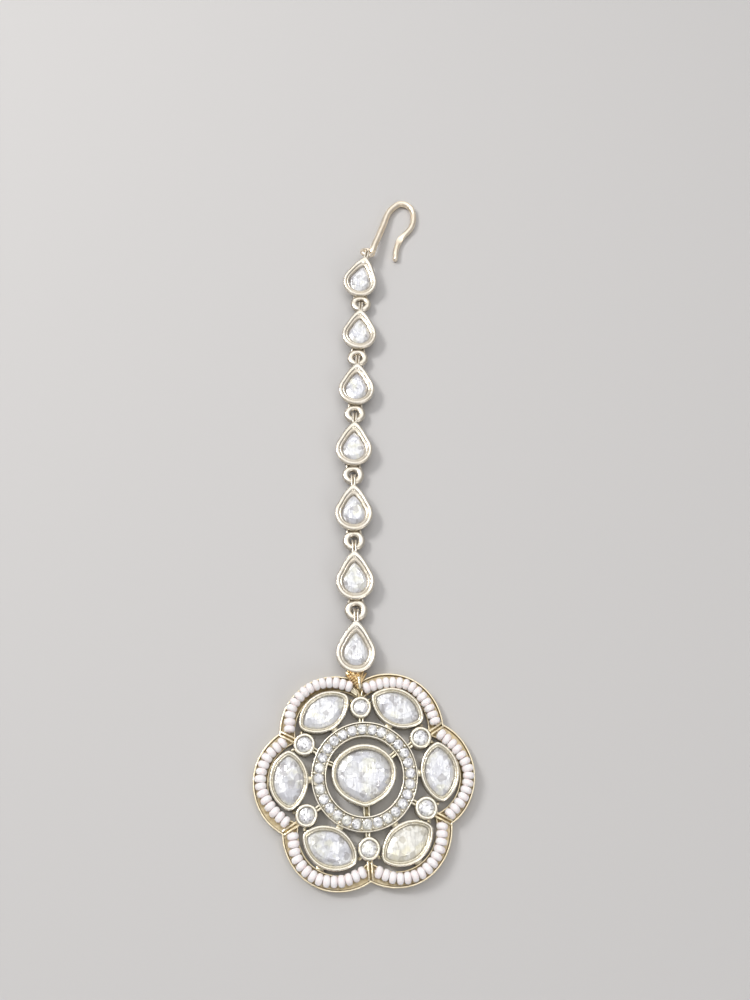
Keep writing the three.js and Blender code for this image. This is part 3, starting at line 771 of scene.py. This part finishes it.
# Pendant metal
def build_rail():
    metal = Metal()
    place = PENDANT @ Matrix.Translation(RAIL_SHIFT)
    width = RAIL_OUTER - RAIL_INNER
    # Profile of (inset, height, painted shade): painted shade on the outer sides and the channel floor
    profile = rounded([
        (0.0, 0.0, 0.6), (0.0, 1.5, 0.05), (0.26, 1.5, 0.0), (0.3, RAIL_FLOOR, 0.7),
        (width - 0.3, RAIL_FLOOR, 1.0), (width - 0.26, 1.15, 0.35), (width, 1.15, 0.25), (width, 0.0, 0.8),
    ], 0.07, closed=True)
    metal.shell(swept(lobed, profile), place, close=True)
    for i in range(LOBES):
        turn = place @ Matrix.Rotation(math.radians(90 + i * LOBE_STEP), 4, "Z")
        top = 1.4 if i == 0 else 2.0
        for side in (-1, 1):
            y = side * 0.3
            slab(metal, (12.5, y - 0.15, 0.4), (15.45, y + 0.15, top), turn, 0.05, 0.15)
        # Painted shade: a fully shaded low strip in the gap between the two walls
        slab(metal, (12.6, -0.16, 0.4), (15.2, 0.16, 1.1), turn, 0.02, 1.0)
        if i == 0:
            for side in (-1, 1):
                spread = [(12.9, side * 0.08, 1.7), (13.5, side * 0.25, 1.9), (14.2, side * 0.5, 1.8)]
                wire(metal, [Vector(p) for p in spread], 0.15, 10, place=turn, depth=0.15)
    metal.finish("pendant_rail", RAIL_GOLD, "gold", ["pendant_frame"], 0.05)


def build_cups():
    # Wall profiles of (inset, height, painted shade): painted shade on the back, in the rim's groove and down
    # the inner wall to the stone
    marquise_wall = [
        (0.0, 0.0, 0.8), (0.0, 1.2, 0.5), (-0.13, 2.2, 0.15), (-0.1, 2.5, 0.0), (0.08, 2.62, 0.0),
        (0.26, 2.6, 0.0), (0.33, 2.38, 0.6), (0.4, 2.36, 0.45), (0.46, 2.44, 0.2), (0.64, 2.34, 0.4),
        (0.71, 2.1, 0.9), (0.73, 1.3, 1.0),
    ]
    round_wall = [
        (0.0, 0.0, 0.8), (0.0, 1.2, 0.5), (-0.07, 2.4, 0.05), (0.08, 2.58, 0.0), (0.36, 2.6, 0.0),
        (0.47, 2.3, 0.8), (0.47, 1.3, 1.0),
    ]
    centre_wall = [
        (0.0, 0.0, 0.8), (0.0, 1.2, 0.5), (-0.17, 2.7, 0.1), (-0.12, 2.98, 0.0), (0.06, 3.1, 0.0),
        (0.3, 3.08, 0.0), (0.38, 2.88, 0.5), (0.44, 2.86, 0.4), (0.5, 2.94, 0.2), (0.64, 2.84, 0.4),
        (0.7, 2.6, 0.9), (0.72, 1.4, 1.0),
    ]
    metal = Metal()
    for i in range(LOBES):
        set_cup(metal, marquise, marquise_wall, on_lobe(i), 1.3)
    metal.finish("marquise_cups", GOLD, "gold", ["pendant_frame"], 0.06)
    metal = Metal()
    for i in range(LOBES):
        set_cup(metal, round_cup, round_wall, on_notch(i), 1.3)
    metal.finish("round_cups", GOLD, "gold", ["pendant_frame"], 0.05)
    metal = Metal()
    set_cup(metal, centre_cup, centre_wall, PENDANT @ Matrix.Translation(CENTRE_SHIFT), 1.4)
    metal.finish("centre_cup", GOLD, "gold", ["pendant_frame"], 0.05)


def channel_bar(metal, start, end, width, bottom, top, place, ridge):
    """Solder bar along +X with two rounded ridges and a groove between them."""
    section = [(-width / 2, bottom, 0.8)]
    for middle in (-width / 2 + ridge, width / 2 - ridge):
        for angle in range(180, -1, -30):
            p = polar(ridge, angle)
            depth = 0.0 if angle == 90 else 0.15 + 0.75 * (abs(middle + p.x) < width / 2 - 1.7 * ridge)
            section.append((middle + p.x, top - ridge + p.y, depth))
        if middle < 0:
            # Painted shade fills the groove between the ridges
            section.append((middle + ridge * 1.1, top - 0.34, 1.0))
            section.append((-middle - ridge * 1.1, top - 0.34, 1.0))
    section.append((width / 2, bottom, 0.8))
    first = len(metal.points)
    for x in (start, end):
        for y, z, depth in section:
            metal.points.append(place @ Vector((x, y, z)))
            metal.painted_shades.append(depth)
    n = len(section)
    for i in range(n):
        j = (i + 1) % n
        metal.faces.append((first + i, first + j, first + n + j, first + n + i))
    metal.faces.append(tuple(first + i for i in reversed(range(n))))
    metal.faces.append(tuple(first + n + i for i in range(n)))


def build_solder():
    metal = Metal()
    carrier = rounded([
        (RING_INNER + 0.12, 0.0, 0.8), (RING_OUTER - 0.12, 0.0, 0.8),
        (RING_OUTER - 0.12, 1.15, 0.7), (RING_INNER + 0.12, 1.15, 0.7),
    ], 0.1, closed=True)
    turned(metal, carrier, 120, PENDANT)

    # Bars between the centre cup and the ring: direction, start, width, top and ridge
    for direction, start, width, top, ridge in (
        (-90, 4.3, 1.1, 1.85, 0.16), (33, 4.6, 0.86, 1.95, 0.2), (157, 4.6, 0.86, 1.95, 0.2),
    ):
        channel_bar(metal, start, 6.4, width, 0.4, top, facing(direction), ridge)
    inner = MARQUISE_REACH - MARQUISE_WIDTH / 2
    outer = MARQUISE_REACH + MARQUISE_WIDTH / 2
    cup_edge = ROUND_REACH - ROUND_RADIUS
    for i in range(LOBES):
        lobe = i * LOBE_STEP
        notch = lobe + LOBE_STEP / 2
        slab(metal, (8.4, -0.55, 0.4), (inner + 0.35, 0.55, 1.8), facing(lobe), 0.16, 0.3)
        channel_bar(metal, 8.4, cup_edge + 0.25, 0.95, 0.4, 1.95, facing(notch), 0.22)
        slab(metal, (outer - 0.3, -0.65, 0.3), (outer + 0.6, 0.65, 1.1), facing(lobe), 0.1, 0.5)
        for side in (-1, 1):
            bridge = on_notch(i) @ Matrix.Rotation(math.radians(side * 49.2), 4, "Z")
            slab(metal, (ROUND_RADIUS - 0.3, -0.26, 0.9), (ROUND_RADIUS + 0.6, 0.26, 1.6), bridge, 0.14, 0.45)
    metal.finish("pendant_solder", SOLDER, "gold", ["pendant_frame"], 0.05)


def build_stone_ring():
    metal = Metal()
    # Painted shade on the band's underside and on its floor between the stones
    band = rounded([
        (RING_INNER, 1.22, 0.7), (RING_OUTER, 1.22, 0.7), (RING_OUTER, 2.35, 0.1),
        (RING_OUTER - 0.2, 2.38, 0.0), (RING_OUTER - 0.28, 2.0, 0.6), (RING_INNER + 0.28, 2.0, 0.6),
        (RING_INNER + 0.2, 2.38, 0.0), (RING_INNER, 2.35, 0.1),
    ], 0.06, closed=True)
    turned(metal, band, 144, PENDANT)
    metal.finish("stone_ring_setting", GOLD, "pave", ["pave_ring"], 0.04)

    middle = (RING_INNER + RING_OUTER) / 2
    unit = Metal()
    outline = [polar(RING_STONE_RADIUS, i * 360 / 16) for i in range(16)]
    cut = cut_stone(outline, girdle=-0.04, table=0.16, table_scale=0.56, back=-0.42)
    add_stone(unit, cut, Matrix())
    shape = unit.as_unit("ring_stone", SMALL_CRYSTAL, 0)
    seat = Vector((0, 0, RING_STONE_HEIGHT))
    circle = [PENDANT @ polar(middle, i * 360 / 168) + seat for i in range(168)]
    mesh = repeated("ring_stones", circle, True, shape, RING_STONES, 5, 0.16, 0.02, SMALL_CRYSTAL)
    shade(mesh, 0)
    settle("ring_stones", mesh, ["pave_ring"])
    bpy.data.objects.remove(shape)

    unit = Metal()
    rows = []
    # Painted shade at the prong's foot
    for radius, height, depth in (
        (0.24, -0.36, 0.8), (0.24, 0.02, 0.2), (0.17, 0.17, 0.0), (0.07, 0.23, 0.0),
    ):
        rows.append((raised([polar(radius, k * 45) for k in range(8)], height), depth))
    unit.shell(rows, caps=(True, True))
    shape = unit.as_unit("prong", GOLD, 60)
    step = 360 / RING_STONES
    for label, radius in (("outer", middle + PRONG_OFFSET), ("inner", middle - PRONG_OFFSET)):
        circle = [PENDANT @ polar(radius, step / 2 + i * 360 / 168) + seat for i in range(168)]
        mesh = repeated(label + "_prongs", circle, True, shape, RING_STONES, 9, 0.1, 0.15, GOLD)
        settle(label + "_prongs", mesh, ["pave_ring"])
    bpy.data.objects.remove(shape)


# Stones
def build_pendant_stones():
    for i in range(LOBES):
        stone = Metal()
        outline = every(marquise(0.5, rounds=3), 22)
        lobe = (1 - i) % LOBES
        cut = cut_stone(outline, girdle=1.98, table=2.44, table_scale=0.68, back=1.32, shift=i)
        add_stone(stone, cut, on_lobe(lobe))
        finish = WARM_CRYSTAL if i == 2 else CRYSTAL
        stone.finish(f"marquise_stone_cut_{i + 1}", finish, "crystal", [f"marquise_stone_{i + 1}"], 0.06, 0)
        stone = Metal()
        outline = every(round_cup(0.45), 16)
        cut = cut_stone(outline, girdle=2.24, table=2.5, table_scale=0.54, back=1.32, shift=i)
        add_stone(stone, cut, on_notch(lobe))
        stone.finish(f"round_stone_cut_{i + 1}", SMALL_CRYSTAL, "crystal", [f"round_stone_{i + 1}"], 0.05, 0)
    stone = Metal()
    outline = every(centre_cup(0.64), 28)
    place = PENDANT @ Matrix.Translation(CENTRE_SHIFT)
    add_stone(stone, cut_stone(outline, girdle=2.3, table=2.78, table_scale=0.74, back=1.42), place)
    stone.finish("centre_stone_cut", CRYSTAL, "crystal", ["centre_stone"], 0.05, 0)


# Seed beads
def bead_unit():
    """Plump ring with softly squared ends around the hole for the thread."""
    plump = 2.0 / 2.7
    rows = []
    for i in range(13):
        t = math.radians(14 + 152 * i / 12)
        x = -BEAD_HALF_LENGTH * math.copysign(abs(math.cos(t)) ** plump, math.cos(t))
        r = BEAD_RADIUS * math.sin(t) ** plump
        # Painted shade towards the hole and in the grooves between beads
        depth = (0.62 - r / BEAD_RADIUS) * 2.0
        rows.append((x, r, min(1.0, max(0.0, depth))))
    hole_end = BEAD_HALF_LENGTH - 0.06
    rows = [(-hole_end, 0.26, 1.0), *rows, (hole_end, 0.26, 1.0)]
    round_about = [2 * math.pi * k / 20 for k in range(20)]
    unit = Metal()
    unit.shell([
        ([Vector((x, r * math.cos(a), r * math.sin(a))) for a in round_about], depth) for x, r, depth in rows
    ], close=True)
    return unit.as_unit("bead", PEARL, 60)


def strand_route(lobe, start, end, radii, rise):
    angles = (start, start / 2, 0, -end / 2, -end)
    points = []
    for i, (angle, radius) in enumerate(zip(angles, radii)):
        p = polar(LOBE_OFFSET, lobe) + polar(radius, lobe + angle)
        lift = rise * math.cos(angle / start * math.pi / 2) ** 0.5 if 0 < i < 4 else 0.0
        points.append(PENDANT @ (p + Vector((0, 0, STRAND_HEIGHT + lift)) + RAIL_SHIFT))
    return smooth_route(points, 16)


def trimmed(route, cut):
    """The route without a length at each end."""
    lengths = along(route)
    total = lengths[-1]
    kept = []
    for target in (cut + (total - 2 * cut) * i / 60 for i in range(61)):
        k = max(i for i, length in enumerate(lengths) if length <= target + 1e-9)
        k = min(k, len(route) - 2)
        part = (target - lengths[k]) / (lengths[k + 1] - lengths[k])
        kept.append(route[k].lerp(route[k + 1], part))
    return kept


def build_strands():
    unit = bead_unit()
    for index, (node, lobe, start, end, radii, rise, beads) in enumerate(STRANDS):
        route = strand_route(lobe, start, end, radii, rise)
        pitch = along(route)[-1] / beads
        centres = trimmed(route, pitch / 2)
        mesh = repeated(node + "_beads", centres, False, unit, beads, 20 + index, 0.055, 0.025, PEARL)
        settle(node + "_beads", mesh, [node])
        thread = Metal()
        wire(thread, trimmed(route, 0.05), THREAD_RADIUS, 8)
        thread.finish(node + "_thread", THREAD, "seed_beads", [node])
    bpy.data.objects.remove(unit)


# Chain
def cup_place(turn, tilt):
    place = Matrix.Translation((0, FOOT_TO_CUP + PEAR_TAPER, 0))
    place = place @ Matrix.Rotation(math.radians(tilt), 4, "X")
    place = place @ Matrix.Translation((0, PEAR_RADIUS - PEAR_TAPER, 0))
    return place @ Matrix.Rotation(math.radians(turn), 4, "Z")


def tip_loop(metal, place):
    """Two wires side by side with a painted-shade strip in the groove between them, bent up and back through
    the next ring.
    """
    low, high = 0.42, 2.42
    bend = (high - low) / 2
    reach = TIP_TO_RING - 0.215 - bend
    middle = (high + low) / 2
    for side in (-1, 1):
        x = side * 0.28
        route = [
            Vector((x * 0.5, -2.7, low + 0.4)), Vector((x * 0.9, -1.7, low + 0.1)), Vector((x, -0.6, low)),
        ]
        for i in range(13):
            p = polar(bend, -90 + 15 * i)
            route.append(Vector((x, reach + p.x, middle + p.y)))
        route += [Vector((x, 0.3, high)), Vector((x * 0.8, -0.75, high - 0.04))]
        wire(metal, route, 0.2, 10, place=place, depth=0.12)
    # Painted shade: a fully shaded strip fills the groove between the wires
    slab(metal, (-0.14, -0.6, high - 0.5), (0.14, reach + 0.5, high - 0.08), place, 0.03, 1.0)


def foot_washer(metal):
    """Thick ring with a flattened round section and solder legs towards the cup."""
    section = []
    for i in range(24):
        t = 2 * math.pi * i / 24
        out = math.copysign(abs(math.cos(t)) ** 0.92, math.cos(t))
        up = math.copysign(abs(math.sin(t)) ** 1.05, math.sin(t))
        # Painted shade: none on the washer's top, full on its underside
        section.append((FOOT_RING + 0.055 + 0.635 * out, FOOT_HEIGHT + 0.5 * up, 0.5 - 0.5 * up))
    turned(metal, section, 64)
    for side in (-1, 1):
        leg = [(side * 1.3, 1.15, 1.4), (side * 1.12, 1.9, 1.55), (side * 1.06, 2.75, 1.5)]
        wire(metal, [Vector(p) for p in leg], 0.24, 10, depth=0.2)
        cross = [(side * 0.72, 1.72, 1.62), (-side * 0.72, 2.6, 1.66)]
        wire(metal, [Vector(p) for p in cross], 0.13, 8, depth=0.2)
    # Painted shade: the solder block under the legs is nearly fully shaded
    slab(metal, (-0.95, 1.55, 1.0), (0.95, 2.75, 1.4), soft=0.07, depth=0.9)


def build_chain():
    """Places each link's ring where the link below ends, and returns the places of the cups."""
    # Wall profile of (inset, height, painted shade): painted shade on the back, in the rim's groove and down
    # the inner wall to the stone
    pear_wall = [
        (PEAR_TAPER, 0.0, 0.8), (0.5, 1.15, 0.7), (0.0, 1.85, 0.4), (-0.13, 2.3, 0.1), (-0.08, 2.6, 0.0),
        (0.16, 2.74, 0.0), (0.5, 2.68, 0.0), (0.64, 2.5, 0.35), (0.74, 2.47, 0.3), (0.84, 2.54, 0.2),
        (1.12, 2.4, 0.45), (1.24, 2.14, 0.8), (1.28, 1.3, 1.0),
    ]
    joint = LAST_CUP_FOOT - Vector((0, FOOT_TO_CUP, 0))
    tip = PEAR_LENGTH - PEAR_RADIUS
    cups = {}
    for number, turn, slack, cup_turn, cup_tilt in LINKS:
        link = Matrix.Translation(joint) @ Matrix.Rotation(math.radians(turn), 4, "Z")
        local = cup_place(cup_turn, cup_tilt)
        cup = link @ local
        cups[number] = cup
        metal = Metal()
        set_cup(metal, pear, pear_wall, local, 1.3)
        tip_loop(metal, local @ Matrix.Translation((0, tip, 0)))
        if number != 7:
            foot_washer(metal)
        if number == 1:
            slab(metal, (-0.5, 4.2, 2.3), (0.5, 5.75, 2.62), local, 0.12, 0.35)
        metal.points = [link @ p for p in metal.points]
        metal.finish(f"link_{number}_metal", CHAIN_GOLD, "gold", [f"chain_link_{number}"], 0.05)
        stone = Metal()
        outline = every(pear(0.98, rounds=3), 20)
        cut = cut_stone(outline, girdle=2.0, table=2.46, table_scale=0.64, back=1.32, shift=number)
        add_stone(stone, cut, cup)
        stone.finish(f"drop_stone_cut_{number}", CRYSTAL, "crystal", [f"drop_stone_{number}"], 0.05, 0)
        joint = cup @ Vector((0, tip + TIP_TO_RING - slack, 0))
        joint.z = 0.0
    return cups


def build_hook(cup):
    """Wire hook whose eye leans in the loop of the top link's cup."""
    metal = Metal()
    eye = Matrix.Translation((0, PEAR_LENGTH - PEAR_RADIUS + TIP_TO_RING - 0.5, FOOT_HEIGHT - 0.2))
    lean = Matrix.Rotation(math.radians(-32), 4, "X")
    ring = [polar(1.12, 360 * i / 40) for i in range(40)]
    wire(metal, ring, 0.45, 14, closed=True, place=cup @ eye @ lean)

    def press(t):
        return math.exp(-((t - 0.845) / 0.03) ** 2)

    def thick(t):
        return 1.14 - 0.34 * max(0.0, t - 0.35)

    wire(metal, smooth_route(HOOK_ROUTE, 9), HOOK_WIRE_RADIUS, 18, press=press, thick=thick)
    metal.finish("hook_wire", HOOK_GOLD, "gold", ["hair_hook"], 0.03)


# Tie between the last link and the pendant
def coil(start, end, radius, turns, count=96):
    """Points of a coil round the line between two places."""
    axis = (end - start).normalized()
    side = axis.cross(Vector((0, 0, 1))).normalized()
    rise = side.cross(axis)
    points = []
    for i in range(count):
        t = i / (count - 1)
        angle = 2 * math.pi * turns * t
        wide = radius * (1 - 0.25 * t)
        across, above = wide * math.cos(angle), wide * math.sin(angle)
        points.append(start.lerp(end, t) + side * across + rise * above)
    return points


def build_tie(cup):
    """Lug under the last cup, staple on the notch, and a bundle of wire wound between them."""
    metal = Metal()
    lug = cup @ Matrix.Translation((*polar(PEAR_RADIUS + 0.45, -105)[:2], 2.3))
    wire(metal, [polar(0.55, 360 * i / 24) for i in range(24)], 0.22, 10, closed=True, place=lug)
    metal.finish("link_lug", WRAP_GOLD, "gold", ["chain_link_7"])
    metal = Metal()
    staple = [
        Vector(p) for p in (
            (0, 14.1, 0.8), (0, 14.1, 1.9), (0, 14.18, 2.5), (0, 14.45, 2.72), (-0.02, 15.2, 2.78),
            (-0.05, 15.62, 2.7), (-0.05, 15.8, 2.3), (-0.05, 15.8, 0.5),
        )
    ]
    wire(metal, smooth_route(staple, 4), 0.25, 12, place=PENDANT)
    knob = [Vector((-0.06, 15.78, 2.1)), Vector((-0.06, 15.78, 2.62))]
    wire(metal, knob, 0.36, 14, place=PENDANT)
    plate = [Vector(p) for p in ((-2.33, 13.62), (-1.42, 13.0), (-1.12, 13.75), (-1.87, 14.22))]
    under, over = raised(plate, 1.35), raised(plate, 1.85)
    metal.shell([(under, 0.6), (over, 0.45)], caps=(True, True))
    for corner in (1, 3):
        wire(metal, [over[0], over[corner]], 0.14, 8)
    metal.finish("notch_staple", SOLDER, "gold", ["pendant_frame"])
    metal = Metal()
    low = PENDANT @ Vector((-0.22, 14.35, 2.25))
    high = Vector((-3.05, 16.75, 2.1))
    # Painted shade, stronger on the later wires of the bundle
    for k in range(7):
        spread = k / 6
        foot = low + Vector((0.3 * spread - 0.02, 0.5 * spread, 0.1))
        head = high + Vector((3.1 * spread, 0.35 * math.sin(math.pi * spread), -0.35 * spread))
        middle = foot.lerp(head, 0.5) + Vector((0.0, -0.12 * spread, 0.12))
        wire(metal, smooth_route((foot, middle, head), 8), 0.21, 8, depth=0.2 + 0.35 * spread)
    wound = coil(Vector((-2.93, 16.45, 2.4)), low + Vector((0.12, -0.05, 0.4)), 0.4, 6)
    wire(metal, wound, 0.16, 8, depth=0.1)
    wire(metal, [Vector((-1.22, 16.5, 2.1)), Vector((-1.22, 16.5, 2.3))], 0.2, 10)
    metal.finish("wound_tie", WRAP_GOLD, "gold", ["pendant_tie"])


# Floor and light
def build_stage():
    mesh = bpy.data.meshes.new("floor")
    reach = 1.5
    corners = [(-reach, -reach, 0), (reach, -reach, 0), (reach, reach, 0), (-reach, reach, 0)]
    mesh.from_pydata(corners, [], [(0, 1, 2, 3)])
    f = Finish("pale_floor")
    mesh.materials.append(f.surface({"Base Color": (0.55, 0.535, 0.52), "Roughness": 0.9}))
    floor = bpy.data.objects.new("floor", mesh)
    bpy.context.scene.collection.objects.link(floor)

    world = bpy.data.worlds.new("studio")
    world.use_nodes = True
    nodes, links = world.node_tree.nodes, world.node_tree.links
    spot = nodes.new("ShaderNodeTexCoord")
    split = nodes.new("ShaderNodeSeparateXYZ")
    ramp = nodes.new("ShaderNodeValToRGB")
    stops = ((0.05, (0.22, 0.22, 0.23, 1)), (0.8, (0.62, 0.62, 0.64, 1)))
    for element, (position, colour) in zip(ramp.color_ramp.elements, stops):
        element.position = position
        element.color = colour
    links.new(spot.outputs["Generated"], split.inputs[0])
    links.new(split.outputs["Z"], ramp.inputs[0])
    links.new(ramp.outputs[0], nodes["Background"].inputs["Color"])
    nodes["Background"].inputs["Strength"].default_value = 0.9
    bpy.context.scene.world = world
    bpy.context.scene.view_settings.view_transform = "Standard"

    # Soft lamps, all turned to the middle of the ornament: name, place and size in metres, power in watts
    middle = Vector((0.0, 0.045, 0.0))
    for name, place, size, power in (
        ("ceiling", (0.02, 0.22, 0.60), 0.62, 1.15),
        ("key", (-0.34, 0.22, 0.42), 0.14, 1.6),
        ("low", (0.30, -0.34, 0.30), 0.20, 0.4),
        ("back", (0.05, 0.90, 0.42), 0.60, 0.9),
    ):
        data = bpy.data.lights.new(name, "AREA")
        data.size = size
        data.energy = power
        lamp = bpy.data.objects.new(name, data)
        lamp.location = place
        lamp.rotation_euler = (middle - Vector(place)).to_track_quat("-Z", "Y").to_euler()
        lamp.visible_camera = False
        bpy.context.scene.collection.objects.link(lamp)


build_rail()
build_cups()
build_solder()
build_stone_ring()
build_pendant_stones()
build_strands()
cup_places = build_chain()
build_hook(cup_places[1])
build_tie(cup_places[7])
build_stage()
